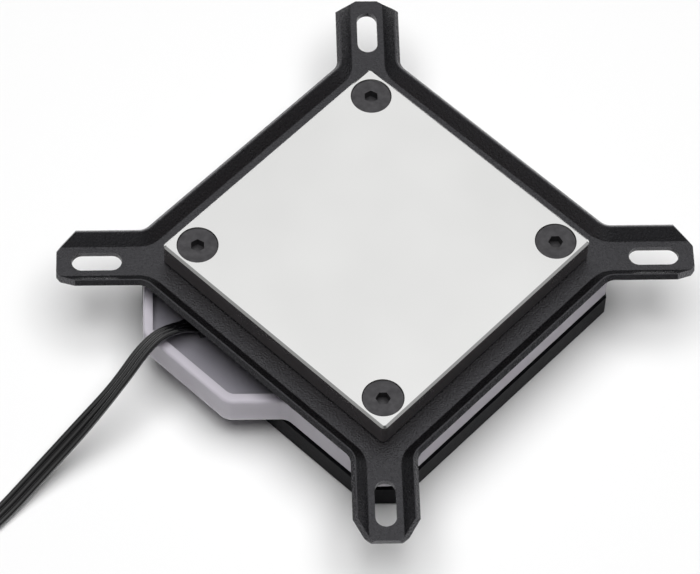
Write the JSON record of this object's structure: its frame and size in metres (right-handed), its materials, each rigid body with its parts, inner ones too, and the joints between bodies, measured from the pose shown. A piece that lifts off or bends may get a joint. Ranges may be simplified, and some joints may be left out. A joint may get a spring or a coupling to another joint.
{
  "type": "cpu water block",
  "caption": "Square liquid cooling block for a processor, metal plate up, with a cross shaped slotted bracket, a frosted light ring and a flat light cable.",
  "frame": {"origin": "on the floor under the middle of the block, at the cover's lower face", "axes": "+Z out of the cooling plate's face, X and Y along the bracket's arms"},
  "size_m": [0.1877, 0.1287, 0.0216],
  "materials": {
    "nickel_plate": "satin nickel plate over copper, fine and even",
    "screw_black": "black oxide steel",
    "bracket_paint": "dark grey powder coat with a fine texture",
    "seal_rubber": "smooth black rubber",
    "jet_steel": "thin stainless sheet",
    "insert_plastic": "black moulded plastic",
    "block_plastic": "black machined plastic, fine satin",
    "diffuser_plastic": "frosted translucent plastic",
    "board_black": "black circuit board",
    "led_white": "white light package",
    "cover_black": "black satin cover",
    "grommet_rubber": "black rubber",
    "cable_black": "black flexible cable sleeve, half gloss",
    "tie_black": "black plastic strap",
    "connector_black": "black moulded plastic",
    "contact_brass": "plated brass spring contact"
  },
  "bodies": {
    "root": {"cold_plate": "nickel_plate", "plate_screws": "screw_black", "mounting_bracket": "bracket_paint", "main_gasket": "seal_rubber", "jet_plate": "jet_steel", "jet_insert": "insert_plastic", "insert_seal": "seal_rubber", "water_top": "block_plastic", "light_diffuser": "diffuser_plastic", "led_board": "board_black", "leds": "led_white", "bottom_cover": "cover_black", "cover_screws": "screw_black", "cable_grommet": "grommet_rubber", "light_cable": "cable_black", "cable_coil": "cable_black", "cable_tail": "cable_black", "cable_tie": "tie_black", "rgb_connector": "connector_black", "connector_contacts": "contact_brass"}
  },
  "joints": []
}
